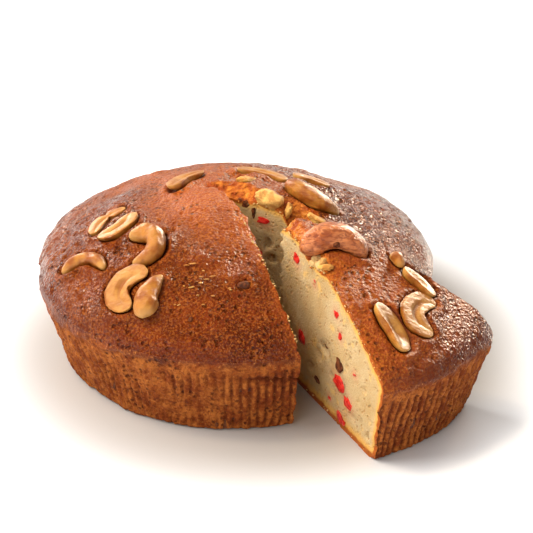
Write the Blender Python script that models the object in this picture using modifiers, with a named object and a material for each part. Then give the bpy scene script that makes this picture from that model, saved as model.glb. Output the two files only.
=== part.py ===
"""A domed round fruit cake baked in a pleated paper case, with cashews on top and one wedge drawn out.

Metres, +Z up. The cake is modelled round its own centre line, standing on Z = 0. At the end everything is
shifted so that the middle of the whole object's base is the origin.
"""

from math import cos, pi, radians, sin, sqrt

import bmesh
import bpy
from mathutils import Matrix, Vector

MM = 0.001

# Driving dimensions.
RIM_RADIUS = 90 * MM
RIM_HEIGHT = 40 * MM
PEAK_HEIGHT = 76 * MM
BASE_RADIUS = 77 * MM
BASE_SHIFT_Y = -6.5 * MM  # the paper case sagged forward, so the base isn't quite under the rim
LEFT_BULGE = 1.4 * MM  # the rim stands out a little more on the -X side
DOME_POWER = 1.86
PEAK_X = -3 * MM
PEAK_Y = -7 * MM

# The crust rolls over the rim on this radius, and the bottom edge is softened by the second one.
RIM_ROUND = 3.2 * MM
BASE_ROUND = 1.6 * MM

# Pleats pressed into the side by the paper case.
PLEATS = 144
PLEAT_DEPTH = 0.9 * MM
PLEAT_TOP = 36 * MM

# The wedge: its point lies a little off the centre line, and it is drawn out along its own middle.
APEX = Vector((-8.7, 2.1, 0)) * MM
CUT_LEFT = radians(-66.6)
CUT_RIGHT = radians(-25.1)
DRAW_OUT = 42 * MM
SLICE_TURN = radians(3)

# A knife-thin gap parts the wedge from the cake at the cut, and each nut from its socket.
GAP = 0.45 * MM

CRUST_COLOUR = (0.30, 0.105, 0.030, 1)
NUT_COLOUR = (0.66, 0.40, 0.16, 1)
BROWN_NUT_COLOUR = (0.36, 0.14, 0.06, 1)

# Each cashew: x, y of its middle on the dome and its lift over the crust, in mm; the heading of its chord,
# with the convex side to the left of it; roll about the chord and pitch of its far end, in degrees;
# length, width and thickness of the whole nut in mm; the bend of its centre line in degrees; the share by
# which the far end is slimmer; and what is there of it: the whole, or the half under or over its split face.
CAKE_NUTS = {
    "cashew_split_far_left": (-58.0, -3.5, 0.9, 48, 8, 6, 22, 8.0, 9, 75, 0.10, "under"),
    "cashew_split_left": (-51.5, -15.0, 1.2, 212, 2, -4, 21, 9.5, 9, 70, 0.12, "under"),
    "cashew_curl_left": (-38.0, -34.5, 0.6, -87, 6, 4, 23, 9.5, 9, 200, 0.20, "whole"),
    "cashew_arc_left": (-65.5, -30.0, 0.0, -24, 0, 0, 25, 6.5, 8, 100, 0.10, "whole"),
    "cashew_flat_left": (-46.4, -53.6, 1.3, 60, -4, 0, 25, 12.5, 9, 170, 0.05, "under"),
    "cashew_drop_left": (-35.0, -61.8, 2.4, 70, 0, 5, 23, 10.0, 9, 45, 0.42, "over"),
    "cashew_back_left": (-23.0, 15.0, 1.4, 48, 0, 0, 22, 9.0, 9, 60, 0.10, "under"),
    "cashew_back_middle": (13.0, 21.0, 1.4, -25, 0, 0, 25, 9.0, 9, 70, 0.10, "under"),
    "cashew_back_right": (35.0, 27.0, 1.4, -12, 0, 0, 18, 8.5, 9, 60, 0.15, "under"),
    "cashew_twisted_right": (33.8, -1.0, 2.0, 147, 30, 0, 29, 9.5, 9, 95, -0.28, "whole"),
}
SLICE_NUTS = {
    "cashew_whole_slice": (13.3, -21.6, 1.6, -3, 52, -3, 30, 12.5, 12, 80, 0.22, "whole"),
    "cashew_boat_slice": (35.0, -60.0, 1.6, -59, -24, 0, 25, 10.5, 11, 50, 0.02, "under"),
    "cashew_flat_slice": (47.2, -50.0, 1.4, 84, 4, 0, 23.5, 11.5, 9, 165, 0.05, "under"),
    "cashew_groove_slice": (49.0, -32.5, 1.6, -40, -20, 0, 18.5, 9.0, 10, 45, 0.10, "under"),
    "cashew_back_slice": (39.8, -23.7, 0.8, -58, 0, 0, 8.8, 5.6, 8, 40, 0.10, "over"),
}

# Pairs of nuts where the first lies on the second, which is hollowed to take it.
STACKED = (("cashew_drop_left", "cashew_flat_left"),)

# Resolution of the facets.
DOME_SEGMENTS = 72
DOME_RINGS = (0.97, 0.93, 0.86, 0.76, 0.64, 0.50, 0.35, 0.18)
ROUND_STEPS = 2
NUT_SECTIONS = 7
NUT_SIDES = 6
CUTTER_REACH = 140 * MM
CUTTER_TOP = 100 * MM


def clear_scene():
    for old in list(bpy.data.objects):
        bpy.data.objects.remove(old)


def new_collection(name):
    made = bpy.data.collections.new(name)
    bpy.context.scene.collection.children.link(made)
    return made


def material(name, colour, roughness):
    made = bpy.data.materials.new(name)
    made.use_nodes = True
    shader = made.node_tree.nodes["Principled BSDF"]
    shader.inputs["Base Color"].default_value = colour
    shader.inputs["Roughness"].default_value = roughness
    shader.inputs["Metallic"].default_value = 0
    return made


def object_from_bmesh(name, shape, collection, look=None):
    bmesh.ops.recalc_face_normals(shape, faces=shape.faces)
    mesh = bpy.data.meshes.new(name)
    shape.to_mesh(mesh)
    shape.free()
    if look:
        mesh.materials.append(look)
    made = bpy.data.objects.new(name, mesh)
    collection.objects.link(made)
    return made


def hide_cutter(cutter):
    cutter.hide_render = True
    cutter.display_type = "WIRE"


# The cake's own surface, as functions that the nuts also stand on.


def rim_radius(angle):
    return RIM_RADIUS + LEFT_BULGE * max(0.0, -cos(angle)) ** 2


def dome_height(x, y):
    """Height of the crust over the point x, y inside the rim."""
    out = min(1.0, sqrt(x * x + y * y) / RIM_RADIUS)
    inward = 1 - out
    rho = min(1.0, sqrt((x - PEAK_X * inward) ** 2 + (y - PEAK_Y * inward) ** 2) / RIM_RADIUS)
    return RIM_HEIGHT + (PEAK_HEIGHT - RIM_HEIGHT) * (1 - rho**DOME_POWER)


def dome_normal(x, y):
    step = 0.5 * MM
    slope_x = (dome_height(x + step, y) - dome_height(x - step, y)) / (2 * step)
    slope_y = (dome_height(x, y + step) - dome_height(x, y - step)) / (2 * step)
    return Vector((-slope_x, -slope_y, 1)).normalized()


def side_point(angle, height, inset=0.0):
    """A point of the tapered side, between the base circle and the rim."""
    share = min(1.0, max(0.0, height / RIM_HEIGHT))
    radius = BASE_RADIUS + (rim_radius(angle) - BASE_RADIUS) * share - inset
    return Vector((radius * cos(angle), radius * sin(angle) + BASE_SHIFT_Y * (1 - share), height))


def circle_angles(count):
    return [2 * pi * k / count for k in range(count)]


def pleat_inset(k):
    """Every second point of a pleated ring lies in a groove."""
    return PLEAT_DEPTH if k % 2 else 0.0


def cake_rings():
    """The cake's sections from the base up to the peak, each a closed ring of points."""
    fine = circle_angles(2 * PLEATS)
    coarse = circle_angles(DOME_SEGMENTS)
    rings = [
        [side_point(a, 0, BASE_ROUND + 2 * MM) for a in coarse],
        [side_point(a, 0, BASE_ROUND) for a in coarse],
        [side_point(a, BASE_ROUND, pleat_inset(k)) for k, a in enumerate(fine)],
        [side_point(a, PLEAT_TOP, pleat_inset(k)) for k, a in enumerate(fine)],
    ]
    for step in range(ROUND_STEPS + 1):
        turn = (pi / 2) * step / ROUND_STEPS
        inset = RIM_ROUND * (1 - cos(turn)) * 0.5
        height = RIM_HEIGHT - RIM_ROUND * (1 - sin(turn)) * 0.6
        rings.append([side_point(a, height, inset) for a in coarse])
    for share in DOME_RINGS:
        ring = []
        for a in coarse:
            x, y = (share * rim_radius(a) * f for f in (cos(a), sin(a)))
            ring.append(Vector((x, y, dome_height(x, y))))
        rings.append(ring)
    return rings


def loft(rings, middle_low, middle_high):
    """A closed solid through the rings, with a fan to a middle point at each end."""
    shape = bmesh.new()
    loops = []
    for ring in rings:
        verts = [shape.verts.new(p) for p in ring]
        edges = [shape.edges.new((verts[k - 1], verts[k])) for k in range(len(verts))]
        loops.append((verts, edges))
    for (_, lower), (_, upper) in zip(loops, loops[1:]):
        bmesh.ops.bridge_loops(shape, edges=lower + upper)
    for point, (verts, _) in ((middle_low, loops[0]), (middle_high, loops[-1])):
        middle = shape.verts.new(point)
        for k in range(len(verts)):
            shape.faces.new((verts[k - 1], verts[k], middle))
    return shape


def whole_cake(name, collection, look):
    low = Vector((0, BASE_SHIFT_Y, 0))
    high = Vector((0, 0, dome_height(0, 0)))
    return object_from_bmesh(name, loft(cake_rings(), low, high), collection, look)


def wedge_cutter(name, collection, margin):
    """The wedge's prism, from below the base to above the peak, moved out by margin on both faces."""
    middle = (CUT_LEFT + CUT_RIGHT) / 2
    half = (CUT_RIGHT - CUT_LEFT) / 2
    back = margin / sin(half)
    point = APEX - Vector((cos(middle), sin(middle), 0)) * back
    corners = [point]
    for angle in (CUT_LEFT, CUT_RIGHT):
        corners.append(point + Vector((cos(angle), sin(angle), 0)) * CUTTER_REACH)
    shape = bmesh.new()
    bottom = [shape.verts.new(c - Vector((0, 0, 0.01))) for c in corners]
    face = shape.faces.new(bottom)
    grown = bmesh.ops.extrude_face_region(shape, geom=[face])
    lifted = [v for v in grown["geom"] if isinstance(v, bmesh.types.BMVert)]
    bmesh.ops.translate(shape, verts=lifted, vec=(0, 0, CUTTER_TOP))
    cutter = object_from_bmesh(name, shape, collection)
    hide_cutter(cutter)
    return cutter


# Cashews.


def nut_cage(length, width, thickness, bend, slimmer):
    """A coarse kidney-shaped cage: sections along an arc in the XY plane, convex towards +Y."""
    bend = radians(bend)
    arc_radius = (length - 0.75 * width) / (2 * sin(bend / 2))
    sagitta = arc_radius * (1 - cos(bend / 2))
    shape = bmesh.new()
    sections = []
    for s in range(NUT_SECTIONS):
        t = s / (NUT_SECTIONS - 1)
        turn = bend * (t - 0.5)
        middle = Vector((arc_radius * sin(turn), arc_radius * cos(turn) - arc_radius + sagitta / 2, 0))
        outward = Vector((sin(turn), cos(turn), 0))
        fullness = (0.30 + 0.70 * sin(pi * (0.08 + 0.84 * t)) ** 0.7) * (1 - slimmer * (2 * t - 1))
        section = []
        for k in range(NUT_SIDES):
            angle = 2 * pi * (k + 0.5) / NUT_SIDES
            across = outward * (width * 0.5 * fullness * cos(angle))
            up = Vector((0, 0, thickness * 0.5 * fullness * sin(angle)))
            section.append(shape.verts.new(middle + across + up))
        sections.append(section)
    for a, b in zip(sections, sections[1:]):
        for k in range(NUT_SIDES):
            shape.faces.new((a[k - 1], a[k], b[k], b[k - 1]))
    shape.faces.new(sections[0])
    shape.faces.new(sections[-1])
    return shape


def smoothed(shape, name):
    """The cage after one level of Subdivision Surface, as a bmesh again."""
    holder = object_from_bmesh(name, shape, bpy.context.scene.collection)
    smooth = holder.modifiers.new("smooth", "SUBSURF")
    smooth.levels = smooth.render_levels = 1
    bpy.context.view_layer.update()
    graph = bpy.context.evaluated_depsgraph_get()
    mesh = bpy.data.meshes.new_from_object(holder.evaluated_get(graph))
    bpy.data.objects.remove(holder)
    made = bmesh.new()
    made.from_mesh(mesh)
    return made


def fit_to(shape, length, thickness):
    """Scales the smoothed nut, which the subdivision has shrunk, to its stated length and thickness."""
    long = max(v.co.x for v in shape.verts) - min(v.co.x for v in shape.verts)
    thick = max(v.co.z for v in shape.verts) - min(v.co.z for v in shape.verts)
    plan = length / long
    bmesh.ops.scale(shape, verts=shape.verts, vec=(plan, plan, thickness / thick))


def split(shape, kept, grow):
    """Leaves the half of the nut under or over its split face, closed by that flat face."""
    if kept == "whole":
        return
    side = 1 if kept == "under" else -1
    cut = bmesh.ops.bisect_plane(
        shape,
        geom=shape.verts[:] + shape.edges[:] + shape.faces[:],
        plane_co=(0, 0, side * grow),
        plane_no=(0, 0, side),
        clear_outer=True,
    )
    rim = [e for e in cut["geom_cut"] if isinstance(e, bmesh.types.BMEdge)]
    bmesh.ops.holes_fill(shape, edges=rim)


def nut_placing(x, y, lift, heading, roll, pitch):
    """The matrix that sets a nut on the dome: its Z along the crust's normal, then turned and tipped."""
    normal = dome_normal(x, y)
    foot = Vector((x, y, dome_height(x, y))) + normal * lift
    upright = Vector((0, 0, 1)).rotation_difference(normal).to_matrix().to_4x4()
    turn = Matrix.Rotation(radians(heading), 4, "Z")
    tip = Matrix.Rotation(radians(pitch), 4, "Y") @ Matrix.Rotation(radians(roll), 4, "X")
    return Matrix.Translation(foot) @ upright @ turn @ tip


def nut(name, values, collection, look=None, grow=0.0):
    x, y, lift, heading, roll, pitch, length, width, thickness, bend, slimmer, kept = values
    sizes = [v * MM + 2 * grow for v in (length, width, thickness)]
    shape = smoothed(nut_cage(*sizes, bend, slimmer), name + "_cage")
    fit_to(shape, sizes[0], sizes[2])
    split(shape, kept, grow)
    made = object_from_bmesh(name, shape, collection, look)
    made.matrix_world = nut_placing(x * MM, y * MM, lift * MM, heading, roll, pitch)
    return made


def cut_with(target, cutter, operation):
    step = target.modifiers.new(cutter.name, "BOOLEAN")
    step.operation = operation
    step.object = cutter
    step.solver = "EXACT"


def add_nuts(placed, cake, parts, cutters, carrier):
    """The nuts of one piece of cake, and the sockets that they sit in."""
    for name, values in placed.items():
        look = looks["brown_nut"] if name == "cashew_whole_slice" else looks["nut"]
        made = nut(name, values, parts, look)
        socket = nut(name + "_socket", values, cutters, grow=GAP)
        hide_cutter(socket)
        cut_with(cake, socket, "DIFFERENCE")
        made.parent = carrier
        socket.parent = carrier


def settle_stacked():
    for upper, lower in STACKED:
        cut_with(bpy.data.objects[lower], bpy.data.objects[upper + "_socket"], "DIFFERENCE")


def shade(parts):
    for part in parts.objects:
        if part.type == "MESH":
            part.data.shade_smooth()
            part.data.set_sharp_from_angle(angle=radians(35))


def slice_placing():
    """Where the drawn-out wedge lies, from where it was cut."""
    middle = (CUT_LEFT + CUT_RIGHT) / 2
    out = Vector((cos(middle), sin(middle), 0)) * DRAW_OUT
    turn = Matrix.Translation(APEX) @ Matrix.Rotation(SLICE_TURN, 4, "Z") @ Matrix.Translation(-APEX)
    return Matrix.Translation(out) @ turn


def middle_of_base(parts):
    """The middle of the whole object's bounding box, at the height of its base."""
    bpy.context.view_layer.update()
    graph = bpy.context.evaluated_depsgraph_get()
    points = []
    for part in parts.objects:
        if part.type == "MESH":
            seen = part.evaluated_get(graph)
            mesh = seen.to_mesh()
            points += [seen.matrix_world @ v.co for v in mesh.vertices]
            seen.to_mesh_clear()
    low = Vector(min(p[k] for p in points) for k in range(3))
    high = Vector(max(p[k] for p in points) for k in range(3))
    return Vector(((low.x + high.x) / 2, (low.y + high.y) / 2, low.z))


clear_scene()
cake_parts = new_collection("fruit_cake")
cutter_parts = new_collection("cutters")
looks = {
    "crust": material("cake", CRUST_COLOUR, 0.5),
    "nut": material("cashew", NUT_COLOUR, 0.4),
    "brown_nut": material("brown_cashew", BROWN_NUT_COLOUR, 0.4),
}

frame = bpy.data.objects.new("cake_frame", None)
slice_frame = bpy.data.objects.new("slice_frame", None)
for empty in (frame, slice_frame):
    cake_parts.objects.link(empty)
slice_frame.parent = frame

body = whole_cake("cake_body", cake_parts, looks["crust"])
body.parent = frame
notch = wedge_cutter("notch_cutter", cutter_parts, GAP / 2)
notch.parent = frame
cut_with(body, notch, "DIFFERENCE")
add_nuts(CAKE_NUTS, body, cake_parts, cutter_parts, frame)

wedge = whole_cake("cake_slice", cake_parts, looks["crust"])
wedge.parent = slice_frame
keeper = wedge_cutter("slice_cutter", cutter_parts, -GAP / 2)
keeper.parent = slice_frame
cut_with(wedge, keeper, "INTERSECT")
add_nuts(SLICE_NUTS, wedge, cake_parts, cutter_parts, slice_frame)

settle_stacked()
slice_frame.matrix_basis = slice_placing()
frame.location = -middle_of_base(cake_parts)
shade(cake_parts)
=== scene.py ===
"""Looks of the fruit cake: its crust, crumb, fruit and cashews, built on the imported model.

The cake is modelled in millimetres round its own centre line, standing on z = 0, and carried into the
frame at the end. The wedge is modelled where it was cut, and then drawn out.
"""

import random
from math import atan2, cos, pi, radians, sin

import bmesh
import bpy
import numpy as np
from mathutils import Matrix, Vector
from mathutils.bvhtree import BVHTree


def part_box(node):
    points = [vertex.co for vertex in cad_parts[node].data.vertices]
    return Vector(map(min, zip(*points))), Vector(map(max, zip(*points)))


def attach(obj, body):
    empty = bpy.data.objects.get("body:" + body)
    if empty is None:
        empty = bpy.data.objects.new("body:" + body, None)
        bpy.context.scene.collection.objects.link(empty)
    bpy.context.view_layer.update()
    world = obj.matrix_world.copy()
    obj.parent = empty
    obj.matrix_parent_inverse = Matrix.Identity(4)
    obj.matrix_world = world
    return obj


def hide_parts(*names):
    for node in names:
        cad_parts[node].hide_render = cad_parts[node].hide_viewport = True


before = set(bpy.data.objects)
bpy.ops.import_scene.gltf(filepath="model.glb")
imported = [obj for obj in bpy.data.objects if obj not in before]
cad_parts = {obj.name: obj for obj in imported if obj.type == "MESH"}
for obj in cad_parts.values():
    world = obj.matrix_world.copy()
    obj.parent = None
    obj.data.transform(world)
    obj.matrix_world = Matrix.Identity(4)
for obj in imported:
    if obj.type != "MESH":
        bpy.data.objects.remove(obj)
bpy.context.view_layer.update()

MM = 0.001

# The cake's driving sizes, as in the model that the frame holds (mm).
RIM_RADIUS = 90
RIM_HEIGHT = 40
PEAK_HEIGHT = 76
BASE_RADIUS = 77
BASE_SHIFT_Y = -6.5
LEFT_BULGE = 1.4
DOME_POWER = 1.86
PEAK = (-3, -7)
RIM_ROUND = 3.2
BASE_ROUND = 1.6
RIM_TOP = RIM_HEIGHT - 0.6 * RIM_ROUND
PLEATS = 144
PLEAT_DEPTH = 1.35
APEX = np.array([-8.7, 2.1])
CUT_LEFT = radians(-66.6)
CUT_RIGHT = radians(-25.1)
CUT_MIDDLE = (CUT_LEFT + CUT_RIGHT) / 2
DRAW_OUT = 42
SLICE_TURN = radians(3)
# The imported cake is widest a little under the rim, where its rounded edge is this far inside the plain side.
WIDEST_HEIGHT = 39.44
WIDEST_INSET = 0.469

# How deep under the skin and a cut their relief and looks still act (mm).
SKIN_DEPTH = 2.5
CUT_DEPTH = 0.6


# Noise, as functions of position.


def hashed(cells, seed):
    """A random number from 0 to 1 for each whole-numbered cell."""
    x, y, z = (cells[..., k].astype(np.int64) for k in range(3))
    h = (x * 374761393 + y * 668265263 + z * 2147483647 + seed * 1274126177) & 0xFFFFFFFF
    h = ((h ^ (h >> 13)) * 1274126177) & 0xFFFFFFFF
    h = ((h ^ (h >> 16)) * 2246822519) & 0xFFFFFFFF
    return (h ^ (h >> 15)) / 0xFFFFFFFF


def noise(points, size, seed=0):
    """Smooth noise from -1 to 1, with lumps about size across."""
    q = points / size
    cell = np.floor(q).astype(np.int64)
    t = q - cell
    t = t * t * (3 - 2 * t)
    total = 0
    for corner in np.ndindex(2, 2, 2):
        weight = np.prod(np.where(corner, t, 1 - t), axis=-1)
        total = total + weight * hashed(cell + np.array(corner), seed)
    return 2 * total - 1


def layered(points, size, layers=3, seed=0):
    total = 0
    for k in range(layers):
        total = total + noise(points, size / 2**k, seed + k) / 2**k
    return total / (2 - 2 ** (1 - layers))


def cell_distance(points, size, seed=0):
    """Distance to the nearest of the random points sown about size apart, as a share of size."""
    q = points / size
    cell = np.floor(q).astype(np.int64)
    best = np.full(len(points), 9.0)
    for step in np.ndindex(3, 3, 3):
        here = cell + np.array(step) - 1
        sown = here + np.stack([hashed(here, seed + k) for k in range(3)], axis=-1)
        best = np.minimum(best, ((q - sown) ** 2).sum(axis=-1))
    return np.sqrt(best)


def smooth_step(low, high, x):
    t = np.clip((x - low) / (high - low), 0, 1)
    return t * t * (3 - 2 * t)


def bell(x, width):
    return np.exp(-((x / width) ** 2))


# The cake's plain outer surface.


def rim_radius(angle):
    return RIM_RADIUS + LEFT_BULGE * np.maximum(0, -np.cos(angle)) ** 2


def dome_height(x, y):
    inward = 1 - np.minimum(1, np.hypot(x, y) / RIM_RADIUS)
    rho = np.minimum(1, np.hypot(x - PEAK[0] * inward, y - PEAK[1] * inward) / RIM_RADIUS)
    return RIM_HEIGHT + (PEAK_HEIGHT - RIM_HEIGHT) * (1 - rho**DOME_POWER)


def dome_normal(x, y):
    step = 0.5
    slope_x = (dome_height(x + step, y) - dome_height(x - step, y)) / (2 * step)
    slope_y = (dome_height(x, y + step) - dome_height(x, y - step)) / (2 * step)
    normal = np.stack([-slope_x, -slope_y, np.ones_like(slope_x)], axis=-1)
    return normal / np.linalg.norm(normal, axis=-1, keepdims=True)


def side_point(angle, height):
    share = np.clip(height / RIM_HEIGHT, 0, 1)
    radius = BASE_RADIUS + (rim_radius(angle) - BASE_RADIUS) * share
    return radius * np.cos(angle), radius * np.sin(angle) + BASE_SHIFT_Y * (1 - share)


def cut_angle(direction, height):
    """The angle round the cake where the cut plane from the apex meets the side at a height."""
    low, high = direction - 0.5, direction + 0.5
    for _ in range(40):
        middle = (low + high) / 2
        x, y = side_point(middle, height)
        if atan2(y - APEX[1], x - APEX[0]) < direction:
            low = middle
        else:
            high = middle
    return (low + high) / 2


# Where a point lies on the cake: how deep under the skin, and how far from each cut.


def skin(points):
    """Each point's depth under the skin, the skin's outward direction there, how far the skin is the side's
    and not the top's, the angle round the cake, and the way to the rim."""
    x, y, z = points.T
    up = dome_normal(x, y)
    under_dome = (dome_height(x, y) - z) * up[:, 2]
    share = np.clip(z / RIM_HEIGHT, 0, 1)
    sideways = np.stack([x, y - BASE_SHIFT_Y * (1 - share), np.zeros_like(x)], axis=-1)
    radius = np.linalg.norm(sideways, axis=-1, keepdims=True)
    sideways = sideways / np.maximum(radius, 1e-6)
    angle = np.arctan2(sideways[:, 1], sideways[:, 0])
    under_side = BASE_RADIUS + (rim_radius(angle) - BASE_RADIUS) * share - radius[:, 0]
    to_side = smooth_step(-4, 4, under_dome - under_side)
    outward = up * (1 - to_side)[:, None] + sideways * to_side[:, None]
    outward /= np.linalg.norm(outward, axis=-1, keepdims=True)
    depth = np.maximum(0, np.minimum(under_dome, under_side))
    return depth, outward, to_side, angle, np.maximum(0, np.maximum(under_dome, under_side))


def from_cut(points, direction):
    """Distance to the side of a cut plane, and distance along it from the apex."""
    d = points[:, :2] - APEX
    along = d @ np.array([cos(direction), sin(direction)])
    across = d @ np.array([-sin(direction), cos(direction)])
    return across, along


def on_cut(direction, along, across, height=None):
    """The place so far along a cut and beside it, at a height or on the dome."""
    x = APEX[0] + along * cos(direction) - across * sin(direction)
    y = APEX[1] + along * sin(direction) + across * cos(direction)
    return np.array([x, y, dome_height(x, y) if height is None else height])


def apart(points, place):
    """Distance from a place, in plan where the place has only x and y."""
    return np.linalg.norm(points[:, : len(place)] - np.asarray(place), axis=1)


# Cashews: x, y of the middle on the dome and the lift over the crust (mm); the heading of the chord, the
# roll about it and the pitch of its far end (degrees); length, width and thickness (mm); the bend of the
# centre line (degrees); how much slimmer the far end is; and what is there: the whole nut, the half under or
# over its split face, or a half hollowed like a boat, or one broken across.
CAKE_NUTS = {
    "cashew_split_far_left": (-58, -3.5, 0.9, 48, 8, 6, 22, 8, 9, 75, 0.10, "broken"),
    "cashew_split_left": (-51.5, -15, 1.2, 212, 2, -4, 21, 9.5, 9, 70, 0.12, "under"),
    "cashew_curl_left": (-38, -34.5, 0.6, -87, 6, 4, 23, 9.5, 9, 200, 0.20, "whole"),
    "cashew_arc_left": (-65.5, -30, 0, -24, 0, 0, 25, 6.5, 8, 100, 0.10, "whole"),
    "cashew_flat_left": (-46.4, -53.6, 1.3, 60, -4, 0, 25, 12.5, 9, 170, 0.05, "under"),
    "cashew_drop_left": (-35, -61.8, 2.4, 70, 0, 5, 23, 10, 9, 45, 0.42, "over"),
    "cashew_back_left": (-23, 15, 1.4, 48, 0, 0, 22, 9, 9, 60, 0.10, "under"),
    "cashew_back_middle": (13, 21, 1.4, -25, 0, 0, 25, 9, 9, 70, 0.10, "under"),
    "cashew_back_right": (35, 27, 1.4, -12, 0, 0, 18, 8.5, 9, 60, 0.15, "under"),
    "cashew_twisted_right": (33.8, -1, 2, 147, 30, 0, 29, 9.2, 9, 105, -0.14, "whole"),
}
SLICE_NUTS = {
    "cashew_whole_slice": (13.3, -21.6, 1.6, -3, 52, -3, 30, 11.8, 12, 105, 0.22, "whole"),
    "cashew_boat_slice": (35, -60, 1.6, -59, -24, 0, 25, 10.5, 11, 50, 0.02, "boat"),
    "cashew_flat_slice": (47.2, -50, 1.4, 84, 4, 0, 23.5, 11.5, 9, 165, 0.05, "under"),
    "cashew_groove_slice": (49, -32.5, 1.6, -40, -20, 0, 18.5, 9, 10, 45, 0.10, "boat"),
    "cashew_back_slice": (39.8, -23.7, 0.8, -58, 0, 0, 8.8, 5.6, 8, 40, 0.10, "over"),
}
NUT_STEPS = 64
NUT_SIDES = 44


def cashew_shape(length, width, thickness, bend, slimmer, kept, seed):
    """Points of one nut round its own middle, as a grid from end to end, with each one's shares of the split
    face, of its groove and of the nut's pale tips."""
    u = np.linspace(0, 1, NUT_STEPS + 1)[:, None]
    around = np.linspace(0, 2 * pi, NUT_SIDES, endpoint=False)[None, :]
    bend = radians(bend)
    arc = (length - 0.75 * width) / (2 * sin(bend / 2))
    reach = bend / 2 + 0.32 * width / arc
    turn = reach * (2 * u - 1)
    full = np.maximum(0, 1 - np.abs(2 * u - 1) ** 2.5) ** 0.5 * (1 - slimmer * (2 * u - 1))
    if kept == "broken":
        full = full * (1 - 0.55 * bell(u - 0.6, 0.06))
    across = np.cos(around)
    crease = 1 - 0.16 * bell(np.angle(np.exp(1j * (around - pi))), 0.5) * bell(u - 0.5, 0.22)
    out = width / 2 * full * across * crease
    z = thickness / 2 * full * np.sin(around) * np.ones_like(u)
    middle = arc * (1 - np.cos(bend / 2)) / 2 - arc
    x = (arc + out) * np.sin(turn)
    y = (arc + out) * np.cos(turn) + middle
    stretch = length / np.ptp(x)
    points = np.stack([x * stretch, y * stretch, z * thickness / np.ptp(z)], axis=-1)
    split = np.zeros_like(x)
    if kept != "whole":
        side = -1 if kept == "over" else 1
        hollow, wide = (0.17, 0.42) if kept == "boat" else (0.12, 0.2)
        groove = hollow * width * bell(across + 0.12, wide) * np.clip(full, 0, 1) * bell(u - 0.5, 0.34)
        rounded = 0.8 * (np.abs(across) ** 10) + 0.3 * across
        face = side * (0.5 * (1 - rounded) * np.clip(full, 0, 1) - groove)
        split = (side * points[..., 2] > 0).astype(float)
        points[..., 2] = np.where(split > 0, face, points[..., 2])
        split = split * smooth_step(0.97, 0.72, np.abs(across))
        if kept == "broken":
            split = split * (u < 0.6)
    flat = points.reshape(-1, 3)
    ridges = noise(flat * np.array([0.45, 1.2, 1.2]), 1.6, seed) * 0.3 + layered(flat, 6, 2, seed + 5) * 0.8
    fade = np.where(split.reshape(-1) > 0, 0.5, 1) * np.repeat(np.clip(full, 0, 1)[:, 0], NUT_SIDES)
    centre = np.stack([arc * np.sin(turn), arc * np.cos(turn) + middle, 0 * turn], axis=-1)
    away = flat - np.repeat(centre.reshape(-1, 3) * np.array([stretch, stretch, 1]), NUT_SIDES, axis=0)
    away /= np.maximum(np.linalg.norm(away, axis=1, keepdims=True), 1e-6)
    in_groove = np.where(split > 0, bell(across + 0.12, 0.22) * bell(u - 0.5, 0.34), 0)
    tip = smooth_step(0.62, 0.98, np.abs(2 * u - 1)) * np.ones_like(x)
    return flat + away * (ridges * fade)[:, None], np.stack([split, in_groove, tip], axis=-1).reshape(-1, 3)


def nut_placing(x, y, lift, heading, roll, pitch):
    normal = Vector(dome_normal(np.array([x]), np.array([y]))[0])
    foot = Vector((x, y, dome_height(x, y))) + normal * lift
    stand = Vector((0, 0, 1)).rotation_difference(normal).to_matrix().to_4x4()
    turn = Matrix.Rotation(radians(heading), 4, "Z")
    tip = Matrix.Rotation(radians(pitch), 4, "Y") @ Matrix.Rotation(radians(roll), 4, "X")
    return Matrix.Translation(foot) @ stand @ turn @ tip


def grid_faces(index):
    """Faces between the rows of a grid of vertex numbers; a face whose corners coincide has only three."""
    corners = np.stack([index[:-1, :-1], index[1:, :-1], index[1:, 1:], index[:-1, 1:]], axis=-1)
    faces = []
    for face in corners.reshape(-1, 4).tolist():
        kept = [v for k, v in enumerate(face) if v != face[k - 1]]
        if len(kept) > 2:
            faces.append(kept)
    return faces


def transformed(matrix, points):
    m = np.array(matrix)
    return points @ m[:3, :3].T + m[:3, 3]


def cashew(name, values):
    """A named nut: its points in the cake's own place, faces, and shares of split face, groove and tip."""
    x, y, lift, heading, roll, pitch, length, width, thickness, bend, slimmer, kept = values
    seed = sum(name.encode())
    points, split = cashew_shape(length, width, thickness, bend, slimmer, kept, seed)
    index = np.arange((NUT_STEPS + 1) * NUT_SIDES).reshape(NUT_STEPS + 1, NUT_SIDES)
    index[0] = index[0, 0]
    index[-1] = index[-1, 0]
    faces = grid_faces(np.concatenate([index, index[:, :1]], axis=1))
    return transformed(nut_placing(x, y, lift, heading, roll, pitch), points), faces, split


# The cake's mesh: a grid over the top from the apex to the rim, one down the side, and one on each cut.

TOP, SIDE, CUT, BASE = range(4)


def columns(start, end, per_pleat):
    """Angles of the top's columns, each on a pleat or midway, and of the side's, which are twice as many."""
    step = 2 * pi / PLEATS * 2 / per_pleat
    first, last = int(np.ceil(start / step + 0.3)), int(np.floor(end / step - 0.3))
    coarse = np.array([start] + [k * step for k in range(first, last + 1)] + [end])
    fine = np.empty(2 * len(coarse) - 1)
    fine[::2] = coarse
    fine[1::2] = (coarse[1:] + coarse[:-1]) / 2
    return coarse, fine


def bent_to_cuts(angles, start, end, height):
    """The same columns lower down, with the outer ones moved so that the last ones stay in the cuts."""
    turn = 2 * pi if end > pi else 0
    at_start = cut_angle(start, height) - angles[0]
    at_end = cut_angle(end - turn, height) + turn - angles[-1]
    spread = 0.12
    near_start = np.exp((angles[0] - angles) / spread)
    near_end = np.exp((angles - angles[-1]) / spread)
    return angles + at_start * near_start + at_end * near_end


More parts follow.
